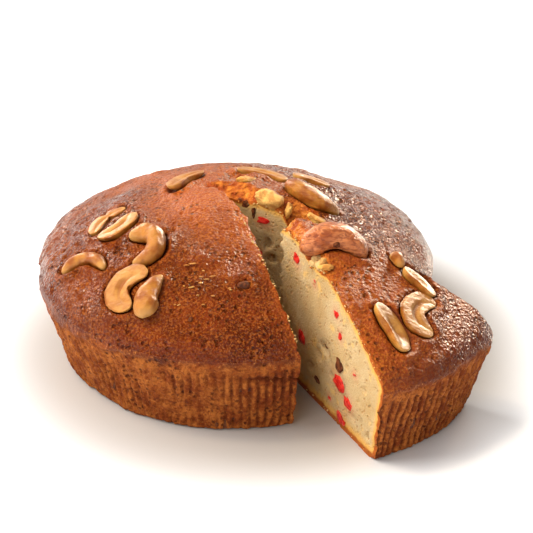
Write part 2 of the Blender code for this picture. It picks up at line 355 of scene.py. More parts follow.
def segment(start, end, per_pleat, rings, rows):
    """The plain mesh of the cake from one cut round to the other: points, faces and each face's zone."""
    turn = 2 * pi if end > pi else 0
    coarse, fine = columns(cut_angle(start, RIM_TOP), cut_angle(end - turn, RIM_TOP) + turn, per_pleat)
    points = [np.array([[*APEX, dome_height(*APEX)]])]
    count = 1

    def added(block):
        nonlocal count
        points.append(block.reshape(-1, 3))
        numbers = np.arange(count, count + points[-1].shape[0])
        count += len(numbers)
        return numbers.reshape(block.shape[:-1])

    share = np.linspace(0, 1, rings + 1)[1:]
    rim_x, rim_y = side_point(coarse, RIM_TOP)
    x = APEX[0] + share * (rim_x[:, None] - APEX[0])
    y = APEX[1] + share * (rim_y[:, None] - APEX[1])
    from_rim = (1 - share) * np.hypot(rim_x - APEX[0], rim_y - APEX[1])[:, None]
    roll = np.clip(1 - from_rim / RIM_ROUND, 0, 1)
    z = RIM_TOP + (dome_height(x, y) - RIM_TOP) * np.sqrt(1 - roll**2)
    top = np.zeros((len(coarse), rings + 1), int)
    top[:, 1:] = added(np.stack([x, y, z], axis=-1))

    heights = RIM_TOP * np.arange(rows + 1) / rows
    side = np.zeros((len(fine), rows + 1), int)
    block = np.empty((len(fine), rows + 1, 3))
    for k, height in enumerate(heights):
        block[:, k, 0], block[:, k, 1] = side_point(bent_to_cuts(fine, start, end, height), height)
        block[:, k, 2] = height
    side[:, :rows] = added(block[:, :rows])
    side[::2, rows] = top[:, rings]
    side[1::2, rows] = added(block[1::2, rows])

    apex_line = np.zeros(rows + 1, int)
    apex_rise = heights[:-1] / RIM_TOP * points[0][0, 2]
    apex_line[:rows] = added(np.stack([np.full(rows, APEX[0]), np.full(rows, APEX[1]), apex_rise], axis=-1))
    cuts = []
    for column, fine_column in ((0, 0), (-1, -1)):
        cut = np.zeros((rings + 1, rows + 1), int)
        cut[0] = apex_line
        cut[:, rows] = top[column]
        cut[rings] = side[fine_column]
        rise = np.array([dome_height(*APEX), *z[column]])[1:-1, None] * heights[None, :-1] / RIM_TOP
        reach = block[fine_column, :rows, :2] - APEX
        plan = APEX + share[:-1, None, None] * reach[None]
        cut[1:rings, :rows] = added(np.concatenate([plan, rise[..., None]], axis=-1))
        cuts.append(cut)

    faces, zones = [], []
    for zone, grid in ((TOP, top[:, :rings]), (SIDE, side), (CUT, cuts[0]), (CUT, cuts[1])):
        new = grid_faces(grid)
        faces += new
        zones += [zone] * len(new)
    for k in range(len(coarse) - 1):
        a, b = top[k, rings - 1], top[k + 1, rings - 1]
        low, mid, high = side[2 * k : 2 * k + 3, rows]
        faces += [[a, low, mid], [a, mid, b], [b, mid, high]]
        zones += [TOP] * 3
    inward, outward = cuts[1][rings - 1 : 0 : -1, 0], cuts[0][1:rings, 0]
    faces.append([*side[:, 0], *inward, apex_line[0], *outward])
    zones.append(BASE)
    return np.concatenate(points), faces, np.array(zones)


# Fruit and holes in the cuts: distance along the cut from the tip, height of the middle, width, height, and
# how deep a hole is (mm). The slice shows its left cut, and the cake its right one.

SLICE_FRUIT = (
    (16, 63, 5.6, 4.4), (53, 54, 4.4, 3.6), (56, 21.5, 9.6, 7), (64.5, 15.5, 8.4, 6.4), (59, 4.6, 7, 4.4),
    (21, 26, 6.5, 6), (57, 45, 2.4, 4), (70, 33, 2.2, 1.2), (33, 60, 1.8, 1), (48, 9, 2.4, 1.8),
)
CAKE_FRUIT = ((24, 63.5, 6, 3), (21, 46, 5, 3.6), (57, 52, 5, 5), (70, 24, 6, 5), (45, 18, 5, 6))
SLICE_RAISINS = ((56.5, 30.5, 6.4, 6.4), (44, 33, 3.4, 1.8), (36, 12, 5, 3))
CAKE_RAISINS = ((15, 69.5, 3.6, 3), (19, 66.5, 2, 5.4), (12, 71, 2, 1.8), (62, 38, 6, 4), (40, 44, 4, 6))
SLICE_HOLES = (
    (43, 31, 6.5, 5, 2.6), (79, 30, 5, 2.6, 1.6), (37, 25, 4.5, 6, 2.2), (66, 39, 2.2, 1.6, 1.2),
    (30, 15, 5, 4, 2.4), (84, 25, 2.4, 1.8, 1.2), (74, 22, 2, 1.6, 1), (69, 11, 3.4, 2.4, 1.4),
    (77, 14, 2.4, 3.2, 1.4), (82, 9, 3.2, 2, 1.3), (50, 21, 3.2, 2.6, 1.5), (63, 33, 2.2, 3, 1.3),
)
CAKE_HOLES = ((26, 52, 4, 5.5, 3), (28, 44.5, 5, 3.5, 3), (52, 30, 4, 3, 2), (66, 48, 3, 3, 2))

# Raisins that show in the crust: on top (x, y and width), and on the side (angle, height, width and height).
TOP_RAISINS = ((4.5, -60.3, 5.0), (-17.9, -73.8, 2.6), (-36, 48, 4.5), (30, 55, 4.0))
SIDE_RAISINS = (
    (-131, 12.5, 3.6, 8), (-125, 20.5, 4, 2.6), (-136.5, 17.5, 4, 3.4), (-95.5, 4, 8.5, 4),
    (-87, 23, 6.5, 2.2), (-106, 16.5, 5.5, 2), (-90, 7.5, 3, 3), (-112, 26, 2, 3), (-47, 11, 6, 3.5),
    (-58, 15, 3, 5), (160, 14, 5, 6), (100, 22, 6, 3), (60, 10, 4, 6), (15, 20, 6, 3),
)

# The shape of the skin and of the cuts: lumps, pleats, sockets round the nuts, and torn places.


def pleat_depth(points, angle):
    """How deep the paper case's pleats are pressed into the side (mm): plainest at the front right."""
    turn = angle * PLEATS / (2 * pi) + 0.3 * noise(points, 9, 70)
    crease = np.abs(turn - np.floor(turn) - 0.5) * 2
    groove = smooth_step(0.25, 0.95, crease)
    at_front = 0.62 * bell(angle + radians(55), radians(38))
    at_back = 0.3 * smooth_step(0.2, 1.2, np.abs(angle + 1.9) - 1)
    strength = np.clip(0.34 + at_front + at_back + 0.5 * noise(points, 11, 71), 0.1, 1.1)
    fade = smooth_step(35.5, 29, points[:, 2]) * smooth_step(-1, 4, points[:, 2])
    return PLEAT_DEPTH * groove * strength * fade


CRACK_END = cut_angle(CUT_LEFT, 27) + 0.002


def crack_share(points, angle):
    """The ragged crack low on the front of the side, by the left cut, from 0 to 1."""
    round_the_cake = np.degrees(angle)
    crack_at = 27.5 - 0.18 * (round_the_cake + 78) + 1.3 * noise(points, 6, 79)
    return bell(points[:, 2] - crack_at, 1.0) * smooth_step(-92, -80, round_the_cake) * (angle < CRACK_END)


def nut_tree(nuts):
    """A search tree over the nuts' meshes, which face outwards."""
    points, faces, count = [], [], 0
    for name, values in nuts.items():
        new, new_faces, _ = cashew(name, values)
        points += new.tolist()
        faces += [[v + count for v in reversed(face)] for face in new_faces]
        count += len(new)
    return BVHTree.FromPolygons(points, faces)


def nut_gaps(points, tree, near=9.0):
    """Distance from each point to the nearest nut, up to a limit, and below 0 inside a nut."""
    gaps = np.full(len(points), near)
    up = Vector((0.08, 0.05, 1)).normalized()
    for k, p in enumerate(points):
        distance = tree.find_nearest(p, near)[3]
        if distance is not None:
            above = tree.ray_cast(p, up)[1]
            gaps[k] = -distance if above is not None and above.dot(up) > 0 else distance
    return gaps


def crust_edge(angle):
    """The height on the side where the glossy top crust ends: lower at the cake's left."""
    at_left = 5.0 * bell(angle + radians(160), radians(34))
    return 36.8 - at_left - 2.5 * bell(angle - radians(60), radians(50))


# Swellings and hollows of the dome: x, y, width and how far each stands out (mm).
DOME_LUMPS = (
    (1, 15.5, 5, -2.6), (9, 15, 4, 1.5), (49, 15, 6, -1.6),
    (-58, 30, 9, -1.2), (-25, 27, 22, -1.2), (42, 33, 16, -0.8),
)
# Where the cake is fuller near the rim: the angle round it and the spread (degrees), and how far (mm).
FULLER_SIDES = ((-165, 40, 0.9), (150, 30, 1.8), (25, 30, 2.6), (-28, 14, 1.9))


def top_relief(points):
    """How far the top stands out: bumps, burst bubbles, raisins' sockets, and a ledge by the curled nut."""
    rough = 0.35 + 0.65 * smooth_step(-0.3, 0.4, noise(points, 26, 31))
    pits = smooth_step(0.42, 0.08, cell_distance(points, 3.6, 41))
    relief = rough * (0.36 * noise(points, 2.7, 51) - 1.1 * pits)
    for x, y, width in TOP_RAISINS:
        reach = apart(points, (x, y)) / width
        relief += 0.7 * bell(reach - 0.85, 0.3) - 1.3 * bell(reach, 0.45)
    step = points[:, 0] + 27.5 - 0.12 * (points[:, 1] + 32) - 1.6 * noise(points, 5, 55)
    ledge = 1.5 * smooth_step(-0.6, 0.8, step) - 1.2 * smooth_step(0.8, -0.6, step)
    return relief + ledge * bell(step, 5) * bell(points[:, 1] + 33, 9)


def side_relief(points, angle):
    """How far the side stands out: the top crust's fringe, torn crumbs, the crack and the pleats."""
    over_edge = points[:, 2] - crust_edge(angle) + 2 * noise(points, 12, 57)
    fringe = 0.75 * bell(over_edge, 1.5) * (0.8 + 1.1 * noise(points, 4.5, 73))
    holes = smooth_step(0.34, 0.1, cell_distance(points, 3.8, 77))
    crumbly = (0.75 * layered(points, 3.2, 3, 75) - 0.8 * holes) * smooth_step(1.5, -2, over_edge)
    return fringe + crumbly - 2.2 * crack_share(points, angle) - pleat_depth(points, angle)


def skin_relief(points, side, angle, gaps, from_rim):
    """How far the crust stands out from its plain shape (mm)."""
    relief = 1.5 * layered(points, 34, 2, 11) + 0.75 * layered(points, 9, 3, 21)
    relief += bell(gaps - 2.6, 1.7) * (1 + 0.7 * noise(points, 5, 53)) - 1.9 * smooth_step(0.9, -0.4, gaps)
    for x, y, width, out in DOME_LUMPS:
        relief += out * bell(apart(points, (x, y)), width)
    for middle, spread, out in FULLER_SIDES:
        relief += out * bell(angle - radians(middle), radians(spread)) * bell(from_rim, 22)
    roll = 1.5 + 1.2 * bell(angle + radians(160), radians(36))
    relief -= roll * np.clip(1 - from_rim / 8, 0, 1) ** 2
    return relief + (1 - side) * top_relief(points) + side * side_relief(points, angle)


def crust_tone(points, gaps):
    """From 0, dark brown, to 1, orange: lightest along the knife's left cut, darkest towards the rim."""
    across, along = from_cut(points, CUT_LEFT)
    beside = bell(across + 11, 17) * smooth_step(72, 8, along) * (across < 0)
    near_apex = bell(apart(points, (-14, 0)), 24)
    by_cut = 0.55 * bell(across, 3.5) * smooth_step(-2, 6, along) + 0.4 * bell(across - 8, 18) * (across > 0)
    by_nuts = 0.35 * bell(gaps - 2.2, 1.3) * smooth_step(0, 0.5, noise(points, 6, 83))
    mottled = 0.22 * noise(points, 18, 81) * smooth_step(85, 45, along)
    return np.clip(0.14 + 0.52 * beside + 0.32 * near_apex + by_cut + by_nuts + mottled, 0, 1)


def torn(points, on_slice):
    """Where the knife tore the crust: how far the surface dropped (mm) and how far it is torn (0 to 1)."""
    ragged = 1.7 * layered(points, 5, 3, 85)
    across, along = from_cut(points, CUT_LEFT if on_slice else CUT_RIGHT)
    if on_slice:
        knots = (-5, 0, 6, 17, 25, 30, 35, 40, 44)
        drops = (4.2, 4.0, 3.2, 2.8, 4.6, 5.6, 4.2, 1.4, 0)
        width = 5.5
    else:
        knots = (-8, -2, 4, 14, 21, 33, 36, 43, 47, 53, 57)
        drops = (0, 2.5, 4.2, 5.2, 3.0, 2.6, 8.0, 8.4, 2.4, 1.2, 0)
        width = 8.5
    drop = np.interp(along + 0.5 * ragged, knots, drops)
    reach = width * (0.45 + 0.55 * np.clip(drop / 5, 0, 1))
    beyond = (across + ragged) / reach
    step = 0.9 * smooth_step(1.0, 0.8, beyond) * np.clip(drop, 0, 1)
    slope = drop * (1 - smooth_step(0, 1, beyond)) + step
    inside = smooth_step(-1.5, 0, across)
    share = smooth_step(1.05, 0.85, beyond) * np.clip(drop / 1.2, 0, 1)
    return slope * inside * (drop > 0.01), share * inside


def cut_relief(points, holes, along):
    """How far a cut face stands out (mm): torn crumb, open pores and holes."""
    patches = smooth_step(-0.2, 0.5, noise(points, 7, 63))
    pores = patches * smooth_step(0.45, 0.12, cell_distance(points, 2.3, 61))
    relief = 0.25 * layered(points, 8, 2, 65) + 0.12 * noise(points, 2.4, 67) - 0.6 * pores
    for place, height, wide, high, deep in holes:
        reach = np.hypot((along - place) / wide, (points[:, 2] - height) / high) * 2
        relief = relief - deep * smooth_step(1.25, 0.45, reach + 0.45 * noise(points, 2.4, 69))
    return relief


def stained(points, fruit, along, near_cut):
    """How pink the crumb is beside the red fruit."""
    stain = np.zeros(len(points))
    for place, height, wide, high in fruit:
        reach = np.hypot((along - place) / (0.5 * wide + 1.6), (points[:, 2] - height) / (0.5 * high + 2.0))
        stain = np.maximum(stain, bell(reach, 0.9))
    return stain * near_cut * (0.75 + 0.25 * noise(points, 2.5, 87))


def shaped(points, on_slice, tree):
    """The plain mesh's points moved into relief, and what the looks read of each point."""
    depth, outward, side, angle, from_rim = skin(points)
    gaps = nut_gaps(points, tree)
    skin_share = bell(depth, SKIN_DEPTH)
    relief = skin_relief(points, side, angle, gaps, from_rim)
    drop, torn_share = torn(points, on_slice)
    moved = points + outward * (relief * skin_share)[:, None]
    top_height = np.maximum(dome_height(points[:, 0], points[:, 1]), 1)
    moved[:, 2] -= drop * np.clip(points[:, 2] / top_height, 0, 1) ** 5
    moved += outward * (torn_share * skin_share * layered(points, 2.8, 3, 89))[:, None]
    fruit = SLICE_FRUIT if on_slice else CAKE_FRUIT
    holes = SLICE_HOLES if on_slice else CAKE_HOLES
    stain = np.zeros(len(points))
    for direction, turned in ((CUT_LEFT, -1), (CUT_RIGHT, 1)):
        across, along = from_cut(points, direction)
        near = bell(across, CUT_DEPTH) * (along > -0.5)
        shown = (direction == CUT_LEFT) == on_slice
        face = cut_relief(points, holes if shown else (), along)
        face = face * (1 - skin_share) + (1.7 * layered(points, 3.2, 3, 91) - 0.3) * skin_share
        if shown:
            stain = np.maximum(stain, stained(points, fruit, along, near))
        elif not on_slice:
            face = face + 2.3 * bell(along - 30, 17) * smooth_step(0.4, 1, points[:, 2] / top_height)
        way = turned if on_slice else -turned
        moved += way * np.array([-sin(direction), cos(direction), 0]) * (face * near)[:, None]
    if on_slice:
        bitten = 1.3 + 2.4 * layered(points, 5, 3, 93) + 1.2 * noise(points, 2.2, 95)
        bitten *= bell(apart(points, APEX), 3)
        moved += np.array([cos(CUT_MIDDLE), sin(CUT_MIDDLE), 0]) * bitten[:, None]
    moved[:, 2] = points[:, 2] + (moved[:, 2] - points[:, 2]) * smooth_step(0, 1.5, points[:, 2])
    low = np.clip(1 - points[:, 2] / BASE_ROUND, 0, 1)
    rounding = BASE_ROUND * (1 - np.sqrt(1 - low**2))
    moved -= outward * (rounding * skin_share * (side > 0.5))[:, None] * np.array([1, 1, 0])
    over_edge = points[:, 2] - crust_edge(angle) - 3 * layered(points, 6, 3, 97)
    fields = {
        "depth": np.minimum(depth, 0.6 * points[:, 2]),
        # The distance to the nuts, which the crust's look also turns into painted shade round them.
        "gap": gaps,
        "tone": crust_tone(points, gaps) + (0.12 if on_slice else 0),
        # The pleats' grooves and the crack, for the painted shade in them.
        "pleat": (pleat_depth(points, angle) / PLEAT_DEPTH + crack_share(points, angle)) * side,
        "dry": side * smooth_step(2.5, -3, over_edge),
        "torn": torn_share,
        "rim": bell(from_rim, 5.5) * np.clip(0.75 + 0.8 * noise(points, 9, 99), 0, 1),
        "stain": stain,
    }
    return moved, fields


# From the cake's own place to the frame.


def cake_offset():
    """Where the cake's centre line stands in the frame (mm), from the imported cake's corners."""
    low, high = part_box("cake_body")
    left = side_point(np.array(pi), WIDEST_HEIGHT)[0] + WIDEST_INSET
    back = side_point(np.array(pi / 2), WIDEST_HEIGHT)[1] - WIDEST_INSET
    return Vector((low.x / MM - float(left), high.y / MM - float(back), 0))


CAKE_PLACING = Matrix.Translation(cake_offset())


def slice_placing():
    apex = Vector((*APEX, 0))
    out = Vector((cos(CUT_MIDDLE), sin(CUT_MIDDLE), 0)) * DRAW_OUT
    turn = Matrix.Translation(apex) @ Matrix.Rotation(SLICE_TURN, 4, "Z") @ Matrix.Translation(-apex)
    return Matrix.Translation(out) @ turn


def in_frame(points, on_slice):
    placing = CAKE_PLACING @ slice_placing() if on_slice else CAKE_PLACING
    return transformed(placing, points) * MM


def mesh_object(name, points, faces, looks, attributes, face_look=None):
    """A smooth-shaded mesh object that faces outwards, with a sharp edge where its faces meet at 70 degrees or
    more.
    """
    mesh = bpy.data.meshes.new(name)
    mesh.from_pydata(np.asarray(points).tolist(), [], faces)
    for look in looks:
        mesh.materials.append(look)
    if face_look is not None:
        mesh.polygons.foreach_set("material_index", face_look)
    for key, values in attributes.items():
        layer = mesh.attributes.new(key, "FLOAT", "POINT")
        layer.data.foreach_set("value", np.asarray(values, np.float32))
    shape = bmesh.new()
    shape.from_mesh(mesh)
    bmesh.ops.delete(shape, geom=[v for v in shape.verts if not v.link_faces], context="VERTS")
    bmesh.ops.recalc_face_normals(shape, faces=shape.faces)
    for face in shape.faces:
        face.smooth = True
    for edge in shape.edges:
        edge.smooth = edge.calc_face_angle(0) < radians(70)
    shape.to_mesh(mesh)
    shape.free()
    made = bpy.data.objects.new(name, mesh)
    bpy.context.scene.collection.objects.link(made)
    return made


# Materials.


class Look:
    """A Principled material whose nodes are added one call at a time."""

    def __init__(self, name, **constants):
        self.material = bpy.data.materials.new(name)
        self.material.use_nodes = True
        self.tree = self.material.node_tree
        self.shader = self.tree.nodes["Principled BSDF"]
        for socket, value in constants.items():
            self.shader.inputs[socket.replace("_", " ")].default_value = value
        self.place = self.add("ShaderNodeTexCoord").outputs["Object"]

    def add(self, kind, settings=(), **inputs):
        made = self.tree.nodes.new(kind)
        for key, value in dict(settings).items():
            setattr(made, key, value)
        for key, value in inputs.items():
            socket = made.inputs[int(key[1:])] if key[1:].isdigit() else made.inputs[key]
            if isinstance(value, bpy.types.NodeSocket):
                self.tree.links.new(value, socket)
            else:
                socket.default_value = value
        return made

    def noise(self, size, detail=3, roughness=0.55, distortion=0, stretch=None):
        """Noise from 0 to 1 with lumps of about size millimetres."""
        place = self.place
        if stretch:
            place = self.add("ShaderNodeMapping", Vector=place, Scale=stretch).outputs[0]
        made = self.add("ShaderNodeTexNoise", Vector=place, Scale=1000 / size, Detail=detail,
                        Roughness=roughness, Distortion=distortion)
        return made.outputs["Fac"]

    def cells(self, size):
        """Distance to the nearest of points sown about size millimetres apart, as a share of it."""
        return self.add("ShaderNodeTexVoronoi", Vector=self.place, Scale=1000 / size).outputs["Distance"]

    def attribute(self, name):
        return self.add("ShaderNodeAttribute", {"attribute_name": name}).outputs["Fac"]

    def ramp(self, value, low, high, to_low=0.0, to_high=1.0):
        made = self.add("ShaderNodeMapRange", {"interpolation_type": "SMOOTHSTEP"}, Value=value)
        for key, number in (("From Min", low), ("From Max", high), ("To Min", to_low), ("To Max", to_high)):
            made.inputs[key].default_value = number
        return made.outputs["Result"]

    def maths(self, operation, a, b):
        return self.add("ShaderNodeMath", {"operation": operation}, _0=a, _1=b).outputs[0]

    def times(self, a, b):
        return self.maths("MULTIPLY", a, b)

    def mix(self, factor, a, b):
        made = self.add("ShaderNodeMix", {"data_type": "RGBA"}, _0=factor)
        for k, colour in ((6, a), (7, b)):
            if isinstance(colour, bpy.types.NodeSocket):
                self.tree.links.new(colour, made.inputs[k])
            else:
                made.inputs[k].default_value = (*colour, 1)
        return made.outputs[2]

    def bump(self, height, distance):
        """Bump in which a height of 1 stands for a distance in millimetres."""
        made = self.add("ShaderNodeBump", Height=height, Distance=distance * MM, Strength=1.0)
        return made.outputs["Normal"]

    def use(self, **sockets):
        for key, value in sockets.items():
            self.tree.links.new(value, self.shader.inputs[key.replace("_", " ")])
        return self.material


def crust_pits(look):
    """Small burst bubbles in the crust, from 0 to 1, for their bump and for the painted shade in them."""
    patches = look.ramp(look.noise(14, 2), 0.42, 0.56)
    return look.times(look.ramp(look.cells(2.8), 0.38, 0.12), patches)


def crust_colour(look):
    """Brown crust with a lighter grain, orange where the tone is high, dark at the rim, and with painted shade
    where it meets the nuts.
    """
    grain = look.noise(1.0, 3, 0.6)
    mottle = look.noise(16, 3, 0.5)
    brown = look.mix(look.ramp(mottle, 0.35, 0.66), (0.056, 0.0064, 0.0011), (0.130, 0.0180, 0.0022))
    toasted = look.mix(look.attribute("tone"), brown, (0.28, 0.048, 0.004))
    speckled = look.mix(look.attribute("tone"), (0.30, 0.077, 0.011), (0.45, 0.125, 0.012))
    patches = look.ramp(look.noise(7, 3), 0.3, 0.65, 0.35, 0.75)
    lighter = look.mix(look.times(look.ramp(grain, 0.47, 0.59), patches), toasted, speckled)
    # Painted shade: the pits are darkened nearly to black.
    pit_shaded = look.mix(look.times(crust_pits(look), 0.55), lighter, (0.035, 0.004, 0.001))
    rimmed = look.mix(look.times(look.attribute("rim"), 0.5), pit_shaded, (0.075, 0.010, 0.003))
    # Painted shade round the nuts: the crust darkens as the gap to a nut closes.
    return look.mix(look.ramp(look.attribute("gap"), 1.3, 0.1, 0, 0.85), rimmed, (0.06, 0.008, 0.002))


def torn_colour(look):
    """Crust that has come away: orange, with yellow crumb between."""
    patches = look.noise(5, 4, 0.65)
    orange = look.mix(look.ramp(patches, 0.38, 0.60), (0.28, 0.045, 0.005), (0.62, 0.18, 0.02))
    return look.mix(look.ramp(patches, 0.60, 0.70), orange, (0.78, 0.42, 0.09))


def crust_look():
    look = Look("crust", Specular_IOR_Level=0.24)
    grainy = look.maths("ADD", look.noise(1.3, 3, 0.6), look.times(look.cells(1.4), 0.6))
    height = look.maths("SUBTRACT", grainy, look.times(crust_pits(look), 1.1))
    smoother = look.ramp(look.attribute("tone"), 0.15, 0.6, 1, 0.6)
    normal = look.bump(look.times(height, smoother), 1.3)
    drier = look.ramp(look.attribute("tone"), 0.1, 0.5, 0, 0.35)
    gloss = look.maths("ADD", look.ramp(look.noise(9, 2), 0.35, 0.65, 0.1, 0.22), drier)
    colour = look.mix(look.attribute("torn"), crust_colour(look), torn_colour(look))
    return look.use(Base_Color=colour, Normal=normal, Roughness=gloss)


def side_look():
    """The side, where the paper case pressed the crust: drier and more orange, with painted shade in the
    pleats' grooves and in the crack.
    """
    look = Look("side_crust", Specular_IOR_Level=0.2)
    mottle = look.noise(7, 4, 0.6)
    dry = look.mix(look.ramp(mottle, 0.35, 0.66), (0.22, 0.042, 0.006), (0.43, 0.122, 0.021))
    # Painted shade: darker in the pleats' grooves and in the crack.
    pleat_shaded = look.mix(look.ramp(look.attribute("pleat"), 0.1, 0.9, 0, 0.7), dry, (0.11, 0.018, 0.004))
    dryness = look.attribute("dry")
    banded = look.mix(dryness, crust_colour(look), pleat_shaded)
    grain = look.noise(1.4, 4, 0.7)
    grained = look.mix(look.ramp(grain, 0.50, 0.38, 0, 0.6), banded, (0.08, 0.013, 0.003))
    flecked = look.mix(look.ramp(grain, 0.56, 0.70, 0, 0.5), grained, (0.60, 0.23, 0.055))
    # Painted shade in the pits, as on the top.
    pit_shaded = look.mix(look.times(crust_pits(look), 0.7), flecked, (0.05, 0.007, 0.002))
    grainy = look.maths("ADD", look.noise(1.3, 5, 0.7), look.times(look.cells(1.8), 0.5))
    relief = look.maths("SUBTRACT", grainy, look.times(crust_pits(look), 1.1))
    roughness = look.ramp(dryness, 0, 1, 0.36, 0.85)
    return look.use(Base_Color=pit_shaded, Normal=look.bump(relief, 0.9), Roughness=roughness)


def crumb_look():
    look = Look("crumb", Roughness=0.75, Specular_IOR_Level=0.3, Subsurface_Weight=0.2, Subsurface_Scale=1.0,
                Subsurface_Radius=(0.0025, 0.0015, 0.0007))
    depth = look.attribute("depth")
    fine = look.noise(0.9, 3, 0.6)
    pale = look.mix(look.ramp(look.noise(15, 3), 0.3, 0.7), (0.48, 0.310, 0.130), (0.55, 0.395, 0.205))
    buttery = look.mix(look.ramp(look.noise(8, 3), 0.58, 0.70, 0, 0.5), pale, (0.80, 0.46, 0.10))
    patches = look.ramp(look.noise(9, 2), 0.4, 0.58)
    pores = look.times(look.ramp(look.cells(2.2), 0.36, 0.14), patches)
    # Painted shade: darker in the fine pores and the open pores, where the bump sinks.
    fine_pore_shaded = look.mix(look.ramp(fine, 0.48, 0.34, 0, 0.4), buttery, (0.50, 0.26, 0.07))
    pore_shaded = look.mix(look.times(pores, 0.6), fine_pore_shaded, (0.40, 0.16, 0.03))
    pink = look.mix(look.times(look.attribute("stain"), 0.55), pore_shaded, (0.62, 0.16, 0.09))
    wavy = look.maths("ADD", depth, look.times(look.noise(3.5, 4), 1.8))
    warm = look.mix(look.ramp(wavy, 6.0, 2.5), pink, (0.70, 0.36, 0.07))
    crusted = look.mix(look.ramp(wavy, 3.2, 2.0), warm, (0.38, 0.085, 0.010))
    height = look.maths("SUBTRACT", fine, pores)
    return look.use(Base_Color=crusted, Normal=look.bump(height, 0.6))


def cashew_look():
    look = Look("cashew", Roughness=0.46, Subsurface_Weight=0.12, Subsurface_Scale=1.0,
                Subsurface_Radius=(0.002, 0.001, 0.0005), Coat_Weight=0.1, Coat_Roughness=0.22)
    split = look.attribute("split")
    toast = look.noise(6, 4)
    outer = look.mix(look.ramp(toast, 0.35, 0.65), (0.25, 0.062, 0.006), (0.39, 0.145, 0.019))
    outer = look.mix(look.times(look.attribute("tip"), 0.6), outer, (0.58, 0.30, 0.07))
    inner = look.mix(look.ramp(toast, 0.35, 0.65), (0.33, 0.115, 0.016), (0.46, 0.205, 0.043))
    streaks = look.noise(2.0, 3, 0.6, stretch=(0.3, 1, 1))
    veined = look.mix(look.ramp(streaks, 0.46, 0.34, 0, 0.5), inner, (0.36, 0.12, 0.022))
    colour = look.mix(look.ramp(split, 0.3, 0.8), outer, veined)
    # Painted shade in the split face's groove.
    deep = look.mix(look.ramp(look.attribute("groove"), 0.35, 1.0, 0, 0.7), colour, (0.26, 0.07, 0.012))
    wrinkles = look.noise(1.8, 3, 0.6, 0.5, stretch=(0.5, 1, 1))
    return look.use(Base_Color=deep, Normal=look.bump(wrinkles, 0.5))


def brown_cashew_look():
    look = Look("brown_cashew", Roughness=0.32, Coat_Weight=0.1, Coat_Roughness=0.25)
    wrinkles = look.noise(1.3, 3, 0.6, 0.6, stretch=(0.4, 1, 1))
    patches = look.mix(look.ramp(look.noise(6, 3), 0.35, 0.65), (0.36, 0.080, 0.015), (0.56, 0.185, 0.058))
    # Painted shade: darker in the creases between the wrinkles.
    crease_shaded_skin = look.mix(look.ramp(wrinkles, 0.52, 0.40, 0, 0.7), patches, (0.18, 0.03, 0.008))
    return look.use(Base_Color=crease_shaded_skin, Normal=look.bump(wrinkles, 0.9))


def fruit_look(name, dark, light, roughness):
    look = Look(name, Roughness=roughness, Specular_IOR_Level=0.3, Subsurface_Weight=0.2,
                Subsurface_Scale=1.0, Subsurface_Radius=(0.002, 0.0006, 0.0004))
    tint = look.noise(2.0, 3)
    colour = look.mix(look.ramp(tint, 0.35, 0.65), dark, light)
    return look.use(Base_Color=colour, Normal=look.bump(tint, 0.6))


def loose_look():
    """Crumbs and flakes: pale crumb to orange crust, by each one's own tone."""
    look = Look("loose_crumb", Roughness=0.7, Specular_IOR_Level=0.3)
    orange = look.mix(look.ramp(look.noise(3, 3), 0.4, 0.6), (0.55, 0.20, 0.028), (0.76, 0.40, 0.09))
    colour = look.mix(look.attribute("tone"), (0.70, 0.45, 0.18), orange)
    return look.use(Base_Color=colour, Normal=look.bump(look.noise(1.4, 4, 0.7), 1.1))


looks = {
    "crust": crust_look(),
    "side": side_look(),
    "crumb": crumb_look(),
    "cashew": cashew_look(),
    "brown_cashew": brown_cashew_look(),
    "fruit": fruit_look("candied_fruit", (0.45, 0.008, 0.006), (0.72, 0.04, 0.025), 0.3),
    "raisin": fruit_look("raisin", (0.05, 0.013, 0.006), (0.18, 0.05, 0.014), 0.7),
    "loose": loose_look(),
}


# The pieces.


def cake_piece(name, node, start, end, per_pleat, rings, rows, nuts, on_slice):
    points, faces, zones = segment(start, end, per_pleat, rings, rows)
    moved, fields = shaped(points, on_slice, nut_tree(nuts))
    skins = [looks[key] for key in ("crust", "side", "crumb", "side")]
    piece = mesh_object(name, in_frame(moved, on_slice), faces, skins, fields, zones.astype(np.int32))
    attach(piece, "root")
    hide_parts(node)


def nut_piece(node, values, on_slice):
    points, faces, shares = cashew(node, values)
    brown = node == "cashew_whole_slice"
    look = looks["brown_cashew"] if brown else looks["cashew"]
    fields = {"split": shares[:, 0], "groove": shares[:, 1], "tip": shares[:, 2]}
    piece = mesh_object("roasted_" + node, in_frame(points, on_slice), faces, (look,), fields)
    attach(piece, "root")
    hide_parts(node)


cake_piece("cake_body_detail", "cake_body", CUT_RIGHT, CUT_LEFT + 2 * pi, 6, 100, 45, CAKE_NUTS, False)
cake_piece("cake_slice_detail", "cake_slice", CUT_LEFT, CUT_RIGHT, 10, 110, 56, SLICE_NUTS, True)
for node, values in CAKE_NUTS.items():
    nut_piece(node, values, False)
for node, values in SLICE_NUTS.items():
    nut_piece(node, values, True)


def ball(detail):
    """The points and faces of a ball of radius 1."""
    shape = bmesh.new()
    bmesh.ops.create_icosphere(shape, subdivisions=detail, radius=1)
    points = np.array([v.co for v in shape.verts])
    faces = [[v.index for v in face.verts] for face in shape.faces]
    shape.free()
    return points, faces


def lump(size, seed, detail, boxy, uneven, cut_flat=False):
    """An irregular lump round its own middle; with cut_flat, its +Z side is cut flat."""
    points, faces = ball(detail)
    squared = points / np.max(np.abs(points), axis=1, keepdims=True)
    points = points * (1 - boxy) + squared * boxy * 0.8
    bumps = layered(points + seed * 7.3, 1.0, 2, seed) + 0.3 * noise(points + seed * 3.1, 0.3, seed)
    points = points * (1 + uneven * bumps)[:, None]
    points = points * np.array(size) / 2
    if cut_flat:
        points[:, 2] = np.where(points[:, 2] > 0, 0.16 * points[:, 2], points[:, 2])
    return points, faces


